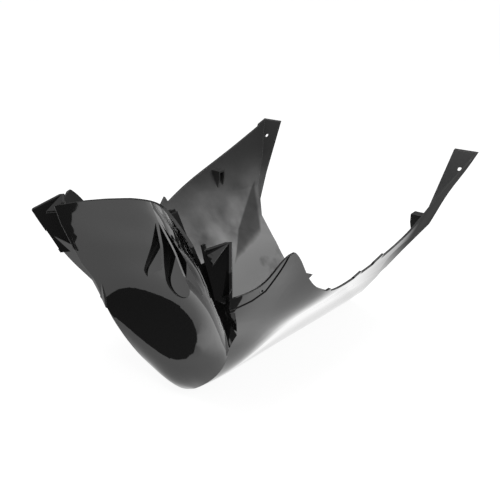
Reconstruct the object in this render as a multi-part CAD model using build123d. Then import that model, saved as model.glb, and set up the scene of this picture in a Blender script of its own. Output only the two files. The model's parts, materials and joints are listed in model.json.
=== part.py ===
from build123d import *
from math import acos, degrees
import os

# One-piece injection-moulded underbody tray of a motor scooter, in millimetres.
# X points forward to the nose, Y to the left side, Z up; the flat keel stands on Z = 0.
# The left half is built and mirrored.

wall = 2.5                 # thickness of the moulding
reach = 900                # size of the trimming blocks

# Half-widths of the hull: bilge at 7 mm, then the sides at four heights and the rim.
side_levels = (7, 50, 95, 140, 215, 260)
hull_stations = (
    (-260, (50, 84, 121, 135, 168, 187)),
    (-150, (49, 83, 121, 142, 175, 195)),
    (-50, (43, 79, 118, 152, 180, 196)),
    (30, (35, 73, 113, 152, 178, 192)),
    (95, (29, 70, 108, 147, 168, 180)),
    (130, (26, 71, 104, 135, 159, 173)),
    (160, (24, 68, 96, 124, 153, 169)),
    (190, (20, 61, 87, 113, 146, 164)),
    (250, (10, 40, 64, 92, 129, 148)),
)

# Nose panel: height, then how far forward it lies at 0, 30, 60 and 90 mm from the centre.
nose_steps = (0, 30, 60, 90)
nose_levels = (
    (-25, (112, 100, 80, 58)),
    (-12, (138, 126, 106, 84)),
    (7, (160, 149, 133, 114)),
    (27, (169, 167, 161, 152)),
    (45, (166.5, 167.5, 168.5, 167)),
    (66, (158.5, 161, 168, 176)),
    (90, (149.5, 152, 161.5, 178.5)),
    (112, (147, 150.5, 161.5, 184)),
    (137, (153.5, 157.5, 169.5, 194.5)),
    (162, (160, 165, 179, 205)),
    (192, (170.5, 178, 195.5, 218.5)),
    (223, (183, 193.5, 212.5, 232)),
    (250, (194, 206, 225, 244)),
)

# Shoulder behind the nose panel, as planes (normal and distance) of the left side:
# the wing's front face and its lower end, the back of the channel beside the panel, and the horn plate.
wing_front = ((1, -0.44, -0.41), 89.4)
wing_toe = ((1, 0, -0.08), 170)
channel_back = ((0.733, 0.655, -0.181), 178.8)
horn_plate = ((0.617, -0.787, 0), 38.3)
horn_root = (200, 213)     # rear top corner of the horn in side view
horn_point = (226, 198)    # its front corner
ridge_y = 91.5             # half-width of the nose panel at its crisp edge

# Facet that bends the side wall inwards low down at the rear.
rear_facet = ((-0.048, 0.816, -0.576), 46.2)

# Rear end of the side walls: upright below, swept back above.
rear_x = -147
sweep_z = 90
tip_x = -229
tip_z = 207


def fair(points, count):
    """Evenly spaced points on a smooth curve through the given ones."""
    curve = Edge.make_spline(points)
    return [curve @ (i / (count - 1)) for i in range(count)]


def skin(rows, inset, across, along):
    """Smooth face through rows of points, moved by the inset along its normals."""
    rows = [fair(row, across) for row in rows]
    columns = [fair(list(column), along) for column in zip(*rows)]
    grid = []
    for j, column in enumerate(columns):
        moved = []
        for i, point in enumerate(column):
            run = column[min(i + 1, along - 1)] - column[max(i - 1, 0)]
            side = columns[min(j + 1, across - 1)][i] - columns[max(j - 1, 0)][i]
            moved.append(point + run.cross(side).normalized() * inset)
        grid.append(moved)
    return Face.make_surface_from_array_of_points(grid)


def hull_face(inset):
    rows = []
    for x, widths in hull_stations:
        lift = max(0, x - 95) ** 2 / 1100
        left = [(x, w, z + lift * (z < 10)) for w, z in zip(widths, side_levels)]
        keel = [(x, -widths[0] / 2, lift - 1), (x, 0, lift - 1.5), (x, widths[0] / 2, lift - 1)]
        rows.append([(x, -y, z) for x, y, z in reversed(left)] + keel + left)
    return skin(rows, inset, 21, 13)


def nose_face(inset):
    rows = []
    for z, places in nose_levels:
        left = [(x, y, z) for x, y in zip(places[1:], nose_steps[1:])]
        left.append((places[3] + (places[3] - places[2]) * 0.45, nose_steps[3] + 11, z))
        rows.append([(x, -y, z) for x, y, z in reversed(left)] + [(places[0], 0, z)] + left)
    return skin(rows, inset, 15, 17)


def piece_at(solid, face, point):
    """The part of a solid, cut by a face, that lies nearest the point."""
    parts = solid.split(face, keep=Keep.ALL).solids()
    return min(parts, key=lambda part: (part.center() - Vector(*point)).length)


def block(x0, x1, y0, y1, z0, z1):
    return Pos((x0 + x1) / 2, (y0 + y1) / 2, (z0 + z1) / 2) * Box(x1 - x0, y1 - y0, z1 - z0)


def prism_x(points, x0, x1):
    """Front-view outline (y, z) run along X."""
    return extrude(Plane.YZ.offset(x0) * make_face(Polyline(*points, close=True)), x1 - x0)


def prism_y(points, y0, y1):
    """Side-view outline (x, z) run along Y."""
    face = make_face(Polyline(*[(x, 0, z) for x, z in points], close=True))
    return Pos(0, y0, 0) * extrude(face, y1 - y0, dir=(0, 1, 0))


def half_space(face, inset):
    """Everything behind a plane, moved back by the inset."""
    slant, distance = face
    normal = Vector(*slant).normalized()
    start = normal * (distance / Vector(*slant).length - inset)
    size = (Align.CENTER, Align.CENTER, Align.MAX)
    return Plane(origin=start, z_dir=normal) * Box(reach, reach, reach, align=size)


def behind_shoulder(inset):
    """What lies behind the wing's front face, or behind or outside the channel beside the panel."""
    ledge = [(76, -10), (76, 195), (91, 195), (97, 157 - inset), (117, 170 - inset), (200, 224), (200, -10)]
    wing = half_space(wing_front, inset) & prism_x(ledge, -reach, reach / 2)
    side = [(88.5, 157), (88.3, 165), (87.3, 190), (84.8, 212), (84.8, 400)]
    side += [(400, 400), (400, 150), (97, 150)]
    beside_panel = prism_x(side, -reach / 2, reach / 2)
    channel = half_space(channel_back, inset) + half_space(horn_plate, inset)
    rest = block(-reach / 2, 140, -10, reach / 2, -10, reach / 2)
    low = prism_x([(84, 80), (84, 125), (130, 125), (130, 80)], -reach / 2, reach / 2)
    return wing + (half_space(wing_toe, inset) & low) + (channel & beside_panel) + rest


def hull_body(inset):
    raw = block(-240 - inset, 240, -inset, 188, inset, 240)
    return piece_at(raw, hull_face(inset), (0, 30, 120))


def nose_body(inset):
    """Behind the panel's face and inside its crisp ridge."""
    raw = prism_x(ridge_outline(inset), -240 - inset, 240)
    return piece_at(raw, nose_face(inset), (0, 30, 120))


def ridge_outline(inset):
    d = inset
    side = [(88 - d, 212 - d), (90.5 - d, 190), (91.5 - d, 162), (91.5 - d, 140), (89 - d, 120)]
    crown = [(-d, 223 - d), (22, 223 - d), (45, 221 - d), (62, 218.5 - d)]
    return [(-d, d)] + crown + side + [(88 - d, 100), (96 - d, 60), (96 - d, d)]


def shell(inset):
    hull = hull_body(inset)
    return (hull & nose_body(inset)) + (hull & behind_shoulder(inset))


def teardrop(apex, centre, radius):
    """Front-view outline with a point at the apex and a round bottom."""
    tip, middle = Vector(*apex), Vector(*centre)
    ray = tip - middle
    turn = degrees(acos(radius / ray.length))
    low = middle - ray.normalized() * radius
    left, right = [middle + ray.normalized().rotate(Axis.Z, a) * radius for a in (turn, -turn)]
    return Plane.YZ * make_face(Line(tip, left) + ThreePointArc(left, low, right) + Line(right, tip))


def vent_pocket(apex, centre, radius, floor, grown):
    """Pocket of the nose vent: a teardrop down to a sloping floor."""
    face = teardrop((apex[0], apex[1] + 3 * grown), centre, radius + grown)
    (x0, z0), (x1, z1) = floor
    side = [(x0 - grown, z0), (x1 - grown, z1), (270, z1), (270, z0)]
    return extrude(face, 300) & prism_y(side, -60, 60)


outer = shell(0) & half_space(rear_facet, 0)
half = outer - (shell(wall) & half_space(rear_facet, wall))

# Top edge of the side walls in side view, from the shoulder back to the tip.
brow = Spline((240, 0, 170), (196, 0, 170), (184, 0, 176), (174, 0, 191), (158, 0, 200))
saddle = Spline((158, 0, 200), (150, 0, 192), (132, 0, 167), (112, 0, 147), (86, 0, 135.5), (50, 0, 134), (10, 0, 139))
rim = Polyline((10, 0, 139), (-209, 0, 201), (-212, 0, 204), (-245, 0, 213), (-245, 0, 300), (240, 0, 300), (240, 0, 170))
above = Pos(0, -10, 0) * extrude(make_face(brow + saddle + rim), 250, dir=(0, 1, 0))
teeth = (
    ((18, 130), (0, 130), (1, 141), (3, 148.5), (14, 142)),
    ((50, 130), (37, 130), (38, 137), (41, 141), (48, 136)),
    ((101, 130), (90, 130), (91, 137), (94, 141), (100, 138)),
    ((140, 150), (124, 150), (126, 160), (131, 163), (127.5, 168), (140, 174)),
)
for tooth in teeth:
    above -= prism_y(tooth, 120, 200)
behind_panel = piece_at(block(-240, 240, -5, 90, 60, 240), nose_face(wall + 0.4), (0, 30, 120))
inside_channel = behind_shoulder(wall) + behind_panel
half -= above & inside_channel
crown = [(-5, 223), (22, 223), (45, 221), (62, 218.5), (88, 212), (ridge_y, 212)]
half -= prism_x(crown + [(ridge_y, 300), (-5, 300)], 100, 300) - inside_channel
horn_top = [(100, horn_root[1]), horn_root, horn_point, (260, 178), (260, 300), (100, 300)]
half -= prism_y(horn_top, ridge_y, 200) - inside_channel

slope = (tip_x - rear_x) / (tip_z - sweep_z)
rear = [(-260, -10), (rear_x, -10), (rear_x, sweep_z), (rear_x + slope * 170, sweep_z + 170), (-300, 260)]
half -= prism_y(rear, -10, 250)

flange_outline = [
    (rear_x, sweep_z),
    (rear_x + slope * 170, sweep_z + 170),
    (rear_x + slope * 170 + wall * 1.2, sweep_z + 170),
    (rear_x + wall * 1.2, sweep_z),
]
inner_edge = [(117, 80), (120, 104), (127, 142), (134, 206), (136, 240), (195, 240), (195, 80)]
flange = prism_y(flange_outline, 20, 188) & outer & prism_x(inner_edge, -300, 0) - above
half += flange

vents = (
    ((0, 199), (0, 124), 16, ((145.5, 100), (152, 210))),
    ((4, 198), (29, 130.5), 10.5, ((156, 100), (153, 210))),
)
nose_core = nose_body(1)
for vent in vents:
    half += vent_pocket(*vent, wall) & nose_core
for vent in vents:
    half -= vent_pocket(*vent, 0)

# Clip boss on the inside of the wall, below the rim.
for x in (-104, -94):
    half += prism_x([(142, 162), (142, 152), (147, 128), (190, 128), (190, 162)], x, x + 2) & outer
half += prism_x([(142, 162), (142, 159.5), (190, 159.5), (190, 162)], -104, -92) & outer
half -= Plane(origin=(182, 128.6, 167), z_dir=(0.3, 1, -0.4)) * Cylinder(2, 16)
rear_hole = (rear_x + slope * 98 + wall * 0.6, 149, sweep_z + 98)
half -= Plane(origin=rear_hole, z_dir=(1, 0, -slope)) * Cylinder(2.75, 20)
gusset = make_face(Polyline((200, 108, 213), (221, 108, 201), (209, 87, 204), close=True))
half += extrude(gusset, -2, dir=(0, 0, 1))
lip = [(202, 154), (188, 158), (177, 165), (173, 177), (168, 190), (162, 206), (215, 206), (215, 154)]
half -= prism_y(lip, 60, 200) - hull_body(0.8)
half = half & block(-300, 300, 0, 300, -10, 300)

tray = half + mirror(half, Plane.XZ)
os.makedirs("parts", exist_ok=True)
export_step(tray, "parts/underbody_tray.step")
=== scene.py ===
import bpy
import json
from mathutils import Matrix, Vector

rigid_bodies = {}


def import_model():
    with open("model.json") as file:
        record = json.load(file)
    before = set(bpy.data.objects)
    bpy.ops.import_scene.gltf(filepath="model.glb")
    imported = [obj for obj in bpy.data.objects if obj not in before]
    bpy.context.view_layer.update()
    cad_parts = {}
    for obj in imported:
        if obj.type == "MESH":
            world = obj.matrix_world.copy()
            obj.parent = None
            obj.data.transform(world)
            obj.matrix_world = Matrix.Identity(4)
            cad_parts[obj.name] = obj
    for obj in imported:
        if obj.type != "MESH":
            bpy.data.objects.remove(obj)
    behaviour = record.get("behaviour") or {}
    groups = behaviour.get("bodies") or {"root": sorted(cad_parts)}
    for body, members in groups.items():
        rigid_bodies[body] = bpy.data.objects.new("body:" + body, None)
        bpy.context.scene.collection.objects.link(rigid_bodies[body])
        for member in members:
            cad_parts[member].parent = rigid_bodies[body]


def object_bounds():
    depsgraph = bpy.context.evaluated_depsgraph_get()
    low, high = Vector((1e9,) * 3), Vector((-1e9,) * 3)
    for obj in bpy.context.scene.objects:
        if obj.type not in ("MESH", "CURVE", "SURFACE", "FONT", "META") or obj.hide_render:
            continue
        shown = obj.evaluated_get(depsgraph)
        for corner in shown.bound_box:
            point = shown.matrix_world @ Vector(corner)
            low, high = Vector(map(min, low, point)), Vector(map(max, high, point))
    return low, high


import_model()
cadLow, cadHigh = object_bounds()

mm = 0.001
white = (1, 1, 1, 1)
black = (0, 0, 0, 1)


# Small helpers for the node trees

def socketIn(group, name, value):
    socket = group.interface.new_socket(name=name, in_out="INPUT", socket_type="NodeSocketFloat")
    socket.default_value = value


def socketOut(group, name, kind="NodeSocketFloat"):
    group.interface.new_socket(name=name, in_out="OUTPUT", socket_type=kind)


def link(tree, source, target):
    tree.links.new(source, target)


def feed(tree, value, socket):
    # A plain value is set on the socket, another node's output is linked to it
    if isinstance(value, (int, float, tuple)):
        socket.default_value = value
    else:
        link(tree, value, socket)


def mathNode(tree, operation, first, second=None):
    node = tree.nodes.new("ShaderNodeMath")
    node.operation = operation
    feed(tree, first, node.inputs[0])
    if second is not None:
        feed(tree, second, node.inputs[1])
    return node.outputs[0]


def plus(tree, first, second):
    return mathNode(tree, "ADD", first, second)


def minus(tree, first, second):
    return mathNode(tree, "SUBTRACT", first, second)


def times(tree, first, second):
    return mathNode(tree, "MULTIPLY", first, second)


def larger(tree, first, second):
    return mathNode(tree, "MAXIMUM", first, second)


def dotNode(tree, first, second):
    node = tree.nodes.new("ShaderNodeVectorMath")
    node.operation = "DOT_PRODUCT"
    feed(tree, first, node.inputs[0])
    feed(tree, second, node.inputs[1])
    return node.outputs["Value"]


def splitNode(tree, vector):
    node = tree.nodes.new("ShaderNodeSeparateXYZ")
    link(tree, vector, node.inputs[0])
    return node.outputs


def coordsNode(tree, kind="Object"):
    return tree.nodes.new("ShaderNodeTexCoord").outputs[kind]


def noiseNode(tree, coords, scale, detail):
    node = tree.nodes.new("ShaderNodeTexNoise")
    feed(tree, scale, node.inputs["Scale"])
    feed(tree, detail, node.inputs["Detail"])
    link(tree, coords, node.inputs["Vector"])
    return node.outputs[0]


def rampNode(tree, value, low, high):
    # 0 at low, 1 at high, eased between
    node = tree.nodes.new("ShaderNodeMapRange")
    node.interpolation_type = "SMOOTHSTEP"
    link(tree, value, node.inputs["Value"])
    feed(tree, low, node.inputs["From Min"])
    feed(tree, high, node.inputs["From Max"])
    return node.outputs[0]


def mixNode(tree, kind, factor, first, second):
    # kind is FLOAT or RGBA
    node = tree.nodes.new("ShaderNodeMix")
    node.data_type = kind
    link(tree, factor, node.inputs["Factor"])
    feed(tree, first, node.inputs["A"])
    feed(tree, second, node.inputs["B"])
    return node.outputs["Result"]


def groupNode(tree, group):
    node = tree.nodes.new("ShaderNodeGroup")
    node.node_tree = group
    return node


def newGroup(name):
    group = bpy.data.node_groups.new(name, "ShaderNodeTree")
    return group, group.nodes.new("NodeGroupInput").outputs, group.nodes.new("NodeGroupOutput").inputs


# The camera stands where the photograph was taken from

camera = {
    "place": (624.9 * mm, 448.9 * mm, 435.9 * mm),
    "right": (-0.600, 0.800, 0.0),
    "back": (0.737, 0.553, 0.388),
    "lens": 50.4,
    "sensor": 36,
}


def placeCamera():
    data = bpy.data.cameras.new("photoCamera")
    data.lens = camera["lens"]
    data.sensor_width = camera["sensor"]
    view = bpy.data.objects.new("photoCamera", data)
    back = Vector(camera["back"]).normalized()
    right = Vector(camera["right"]).normalized()
    up = back.cross(right)
    turn = Matrix((right, up, back)).transposed().to_4x4()
    view.matrix_world = Matrix.Translation(camera["place"]) @ turn
    bpy.context.scene.collection.objects.link(view)
    bpy.context.scene.camera = view
    print("camera placed")


# The camera sees a white floor all round. In polished faces the floor is a white sheet that is
# grey towards its front edge, with a dark room in front of it and fading in behind it.

studio = {
    "floorSize": 60.0,
    "floorGap": 0.2 * mm,            # keeps the floor clear of the keel
    "floorColor": (0.25, 0.25, 0.25, 1),
    "floorRoughness": 0.9,
    "floorGlow": 0.9,                # what the camera sees of the floor, with the lamps on top
    "sheetAlong": (0.8, 0.6, 0.0),   # the places below are measured this way from the origin
    "sheetFront": 0.227,
    "sheetFrontGlow": 0.5,           # glow at the front, and 1 near the tray
    "dimNear": 0.03,
    "dimFar": 0.15,
    "sheetFade": -0.02,              # from here back the sheet fades into the room
    "sheetRear": -0.26,
    "sheetWobble": 0.012,            # unevenness of the sheet's edges
    "wobbleSize": 9.0,
    "wobbleDetail": 3,
    "roomGlow": 0.06,
    "ceilingLow": 0.25,              # the ceiling comes in between these rises of the view
    "ceilingHigh": 0.55,
    "ceilingGlow": 0.3,
    "skyLight": 0.45,
}


def mirrorRays(tree, path):
    # Rays that polished or clear faces send out
    return larger(tree, path["Is Glossy Ray"], path["Is Transmission Ray"])


def floorMaterial():
    material = bpy.data.materials.new("floorWhite")
    material.use_nodes = True
    tree = material.node_tree
    shader = tree.nodes["Principled BSDF"].inputs
    shader["Roughness"].default_value = studio["floorRoughness"]
    shader["Specular IOR Level"].default_value = 0
    shader["Emission Color"].default_value = white

    coords = coordsNode(tree)
    wobble = noiseNode(tree, coords, studio["wobbleSize"], studio["wobbleDetail"])
    ahead = dotNode(tree, coords, studio["sheetAlong"])
    ahead = plus(tree, ahead, times(tree, wobble, studio["sheetWobble"]))
    infront = mathNode(tree, "GREATER_THAN", ahead, studio["sheetFront"])
    beyond = larger(tree, infront, rampNode(tree, ahead, studio["sheetFade"], studio["sheetRear"]))

    path = tree.nodes.new("ShaderNodeLightPath").outputs
    mirror = mirrorRays(tree, path)
    dark = times(tree, mirror, beyond)
    link(tree, mixNode(tree, "RGBA", dark, studio["floorColor"], black), shader["Base Color"])
    sheet = rampNode(tree, ahead, studio["dimFar"], studio["dimNear"])
    sheet = times(tree, sheet, 1 - studio["sheetFrontGlow"])
    sheet = plus(tree, sheet, studio["sheetFrontGlow"])
    mirrored = times(tree, mirror, mixNode(tree, "FLOAT", beyond, sheet, studio["roomGlow"]))
    seen = times(tree, path["Is Camera Ray"], studio["floorGlow"])
    link(tree, plus(tree, seen, mirrored), shader["Emission Strength"])
    return material


def buildFloor():
    bpy.ops.object.select_all(action="DESELECT")
    level = cadLow[2] - studio["floorGap"]
    bpy.ops.mesh.primitive_plane_add(size=studio["floorSize"], location=(0, 0, level))
    floor = bpy.context.object
    floor.name = "studioFloor"
    floor.data.materials.append(floorMaterial())
    print("floor laid")


def buildWorld():
    world = bpy.data.worlds.new("studioWorld")
    world.use_nodes = True
    tree = world.node_tree
    background = tree.nodes["Background"].inputs
    background["Color"].default_value = white
    rise = splitNode(tree, coordsNode(tree, "Generated"))["Z"]
    ceiling = rampNode(tree, rise, studio["ceilingLow"], studio["ceilingHigh"])
    ceiling = times(tree, ceiling, studio["ceilingGlow"])
    path = tree.nodes.new("ShaderNodeLightPath").outputs
    mirror = mirrorRays(tree, path)
    mirrored = times(tree, mirror, larger(tree, ceiling, studio["roomGlow"]))
    seen = larger(tree, path["Is Camera Ray"], mirrored)
    unseen = minus(tree, 1, larger(tree, path["Is Camera Ray"], mirror))
    fill = times(tree, unseen, studio["skyLight"])
    link(tree, plus(tree, seen, fill), background["Strength"])
    bpy.context.scene.world = world
    print("world set")


lamps = {
    "overheadSoftbox": {"place": (0.0, 0.1, 1.7), "width": 1.6, "height": 1.2, "watts": 16},
    "sideSoftbox": {"place": (-0.3, 1.6, 0.9), "width": 1.0, "height": 1.0, "watts": 9},
}
lampAim = (0, 0, 0.1)


def buildLights():
    for name, lamp in lamps.items():
        data = bpy.data.lights.new(name, "AREA")
        data.shape = "RECTANGLE"
        data.size = lamp["width"]
        data.size_y = lamp["height"]
        data.energy = lamp["watts"]
        softbox = bpy.data.objects.new(name, data)
        softbox.location = lamp["place"]
        aim = Vector(lampAim) - Vector(lamp["place"])
        softbox.rotation_euler = aim.to_track_quat("-Z", "Y").to_euler()
        bpy.context.scene.collection.objects.link(softbox)
    print("lights set")


# The tray's finish: clear-coated gloss black outside, satin grey inside, with painted light and
# painted shade on the inside walls

tray = {
    "node": "underbody_tray",
    "axisHeight": 150 * mm,          # a line along the hollow tells inside from outside
    "noseBack": 30 * mm,             # from here forward the nose panel counts as well
    "flangeFront": -120 * mm,        # from here back the end flanges count as well
    "insideLimit": 0.02,
    "bossPlace": (-98 * mm, 145 * mm),       # clip bosses, in X and Z
    "bossReach": (8 * mm, 18 * mm),
    "bossFlank": 0.6,                # faces there that look less sideways than this are a boss's
    "glossColor": (0.011, 0.011, 0.011, 1),
    "glossRoughness": 0.045,
    "coatRoughness": 0.03,
    "satinColor": (0.02, 0.02, 0.02, 1),
    "satinRoughness": 0.42,
    "edgeRound": 0.9 * mm,           # radius at which the moulding's edges catch the light
    "edgeSamples": 4,
    "peelSize": 60.0,                # slow waviness of the outer skin
    "peelHeight": 0.02 * mm,
    "grainSize": 1400.0,             # fine grain of the satin faces
    "grainHeight": 0.012 * mm,
    "fineDetail": 1,
}

# Painted light inside the hollow: its walls are painted lighter low down and darker higher up, with a
# random cloudy mottle on top
paintedLightAndMottle = {
    "color": (0.26, 0.26, 0.26, 1),
    "low": 20 * mm,                  # full painted lightening at this height and below
    "high": 180 * mm,                # none from here up
    "mottleSize": 24.0,
    "mottleDetail": 3,
    "mottleDepth": 2.6,
    "noiseMiddle": 0.5,
}

# Painted shade on a leaf of each side wall, where a facet of the wall faces away from the light, with
# a painted highlight band above it. An edge is its normal in X and Z, its distance from the origin
# along that normal, and how soft it is.
paintedLeafShadeAndHighlight = {
    "upperEdge": ((0.535, 0, 0.845), 23.3 * mm, 1.5 * mm),
    "lowerEdge": ((0.196, 0, 0.98), 46.1 * mm, 6 * mm),
    "rearEdge": ((0.86, 0, 0.51), -74.6 * mm, 3 * mm),
    "lightAndMottleKept": 0.3,                 # share of the painted light and mottle kept on the leaf, which paints it darker
    "rimWidth": 45 * mm,             # a painted highlight band comes in over this width above the upper edge
    "rimHighlight": 0.35,
}


def makeInsideGroup():
    # 1 on faces that look into the hollow, 0 on the outer skin
    group, start, end = newGroup("trayInside")
    socketIn(group, "axisHeight", tray["axisHeight"])
    socketIn(group, "noseBack", tray["noseBack"])
    socketIn(group, "flangeFront", tray["flangeFront"])
    socketIn(group, "limit", tray["insideLimit"])
    socketOut(group, "mask")
    place = splitNode(group, coordsNode(group))
    forward = larger(group, minus(group, place["X"], start["noseBack"]), 0)
    rearward = mathNode(group, "MINIMUM", minus(group, place["X"], start["flangeFront"]), 0)
    away = group.nodes.new("ShaderNodeCombineXYZ")
    link(group, plus(group, forward, rearward), away.inputs["X"])
    link(group, place["Y"], away.inputs["Y"])
    link(group, minus(group, place["Z"], start["axisHeight"]), away.inputs["Z"])
    unit = group.nodes.new("ShaderNodeVectorMath")
    unit.operation = "NORMALIZE"
    link(group, away.outputs[0], unit.inputs[0])
    normal = group.nodes.new("ShaderNodeNewGeometry").outputs["Normal"]
    inner = mathNode(group, "LESS_THAN", dotNode(group, unit.outputs[0], normal), start["limit"])

    # The flanks of the clip bosses look neither in nor out, and count by their place
    sideways = mathNode(group, "ABSOLUTE", splitNode(group, normal)["Y"])
    boss = mathNode(group, "LESS_THAN", sideways, tray["bossFlank"])
    for axis, middle, reach in zip("XZ", tray["bossPlace"], tray["bossReach"]):
        off = mathNode(group, "ABSOLUTE", minus(group, place[axis], middle))
        boss = times(group, boss, mathNode(group, "LESS_THAN", off, reach))
    link(group, larger(group, inner, boss), end["mask"])
    return group


def edgeRamp(tree, coords, edge, side):
    # 1 on the side that the normal points to, or on the other with side -1
    normal, distance, soft = edge
    along = dotNode(tree, coords, normal)
    return rampNode(tree, along, distance - side * soft, distance + side * soft)


def makePaintedLeafAndHighlightGroup():
    # How much the painted shade of the leaf and the painted highlight band above it change the
    # painted light and mottle, 1 for no change
    group, start, end = newGroup("wallPaintedLeafAndHighlight")
    socketIn(group, "lightAndMottleKept", paintedLeafShadeAndHighlight["lightAndMottleKept"])
    socketIn(group, "rimHighlight", paintedLeafShadeAndHighlight["rimHighlight"])
    socketOut(group, "change")
    coords = coordsNode(group)
    # Painted shade: the leaf keeps only part of the painted light
    inside = edgeRamp(group, coords, paintedLeafShadeAndHighlight["upperEdge"], -1)
    inside = times(group, inside, edgeRamp(group, coords, paintedLeafShadeAndHighlight["lowerEdge"], 1))
    inside = times(group, inside, edgeRamp(group, coords, paintedLeafShadeAndHighlight["rearEdge"], 1))
    normal, distance, soft = paintedLeafShadeAndHighlight["upperEdge"]
    # Painted highlight: a band above the leaf's upper edge gets more of the painted light
    rim = rampNode(group, dotNode(group, coords, normal), distance + paintedLeafShadeAndHighlight["rimWidth"], distance)
    rim = plus(group, times(group, rim, start["rimHighlight"]), 1)
    link(group, mixNode(group, "FLOAT", inside, rim, start["lightAndMottleKept"]), end["change"])
    return group


def makePaintedLightAndMottleGroup():
    # Painted light: the hollow is painted lighter low down and darker higher up, times a random
    # cloudy mottle, 0 for none
    group, start, end = newGroup("hollowPaintedLightAndMottle")
    socketIn(group, "low", paintedLightAndMottle["low"])
    socketIn(group, "high", paintedLightAndMottle["high"])
    socketIn(group, "mottle", paintedLightAndMottle["mottleDepth"])
    socketOut(group, "amount")
    coords = coordsNode(group)
    paintedLightLow = rampNode(group, splitNode(group, coords)["Z"], start["high"], start["low"])
    cloud = noiseNode(group, coords, paintedLightAndMottle["mottleSize"], paintedLightAndMottle["mottleDetail"])
    cloud = times(group, minus(group, cloud, paintedLightAndMottle["noiseMiddle"]), start["mottle"])
    amount = times(group, paintedLightLow, plus(group, cloud, 1))
    change = groupNode(group, makePaintedLeafAndHighlightGroup()).outputs["change"]
    link(group, times(group, amount, change), end["amount"])
    return group


def makeSurfaceGroup():
    # Waviness everywhere, grain on the satin faces, and rounded edges
    group, start, end = newGroup("mouldedSurface")
    socketIn(group, "inside", 0)
    socketIn(group, "peelHeight", tray["peelHeight"])
    socketIn(group, "grainHeight", tray["grainHeight"])
    socketOut(group, "normal", "NodeSocketVector")
    coords = coordsNode(group)
    peel = noiseNode(group, coords, tray["peelSize"], tray["fineDetail"])
    grain = noiseNode(group, coords, tray["grainSize"], tray["fineDetail"])
    grain = times(group, times(group, grain, start["grainHeight"]), start["inside"])
    height = plus(group, times(group, peel, start["peelHeight"]), grain)
    rounding = group.nodes.new("ShaderNodeBevel")
    rounding.samples = tray["edgeSamples"]
    rounding.inputs["Radius"].default_value = tray["edgeRound"]
    bump = group.nodes.new("ShaderNodeBump")
    bump.inputs["Strength"].default_value = 1
    bump.inputs["Distance"].default_value = 1    # the heights are in metres
    link(group, height, bump.inputs["Height"])
    link(group, rounding.outputs[0], bump.inputs["Normal"])
    link(group, bump.outputs[0], end["normal"])
    return group


def trayMaterial():
    material = bpy.data.materials.new("trayPlastic")
    material.use_nodes = True
    tree = material.node_tree
    shader = tree.nodes["Principled BSDF"].inputs
    mask = groupNode(tree, makeInsideGroup()).outputs["mask"]
    amount = groupNode(tree, makePaintedLightAndMottleGroup()).outputs["amount"]
    surface = groupNode(tree, makeSurfaceGroup())
    link(tree, mask, surface.inputs["inside"])
    link(tree, surface.outputs["normal"], shader["Normal"])

    # Painted light and shade: the satin grey is mixed towards a lighter grey low in the hollow, and
    # less so on the painted leaf shade
    satin = mixNode(tree, "RGBA", amount, tray["satinColor"], paintedLightAndMottle["color"])
    link(tree, mixNode(tree, "RGBA", mask, tray["glossColor"], satin), shader["Base Color"])
    rough = mixNode(tree, "FLOAT", mask, tray["glossRoughness"], tray["satinRoughness"])
    link(tree, rough, shader["Roughness"])
    link(tree, minus(tree, 1, mask), shader["Coat Weight"])
    shader["Coat Roughness"].default_value = tray["coatRoughness"]
    return material


def dressTray():
    material = trayMaterial()
    for slot in bpy.data.objects[tray["node"]].material_slots:
        slot.material = material
    print("tray finish set")


placeCamera()
buildFloor()
buildWorld()
buildLights()
dressTray()
bpy.context.scene.view_settings.view_transform = "Standard"
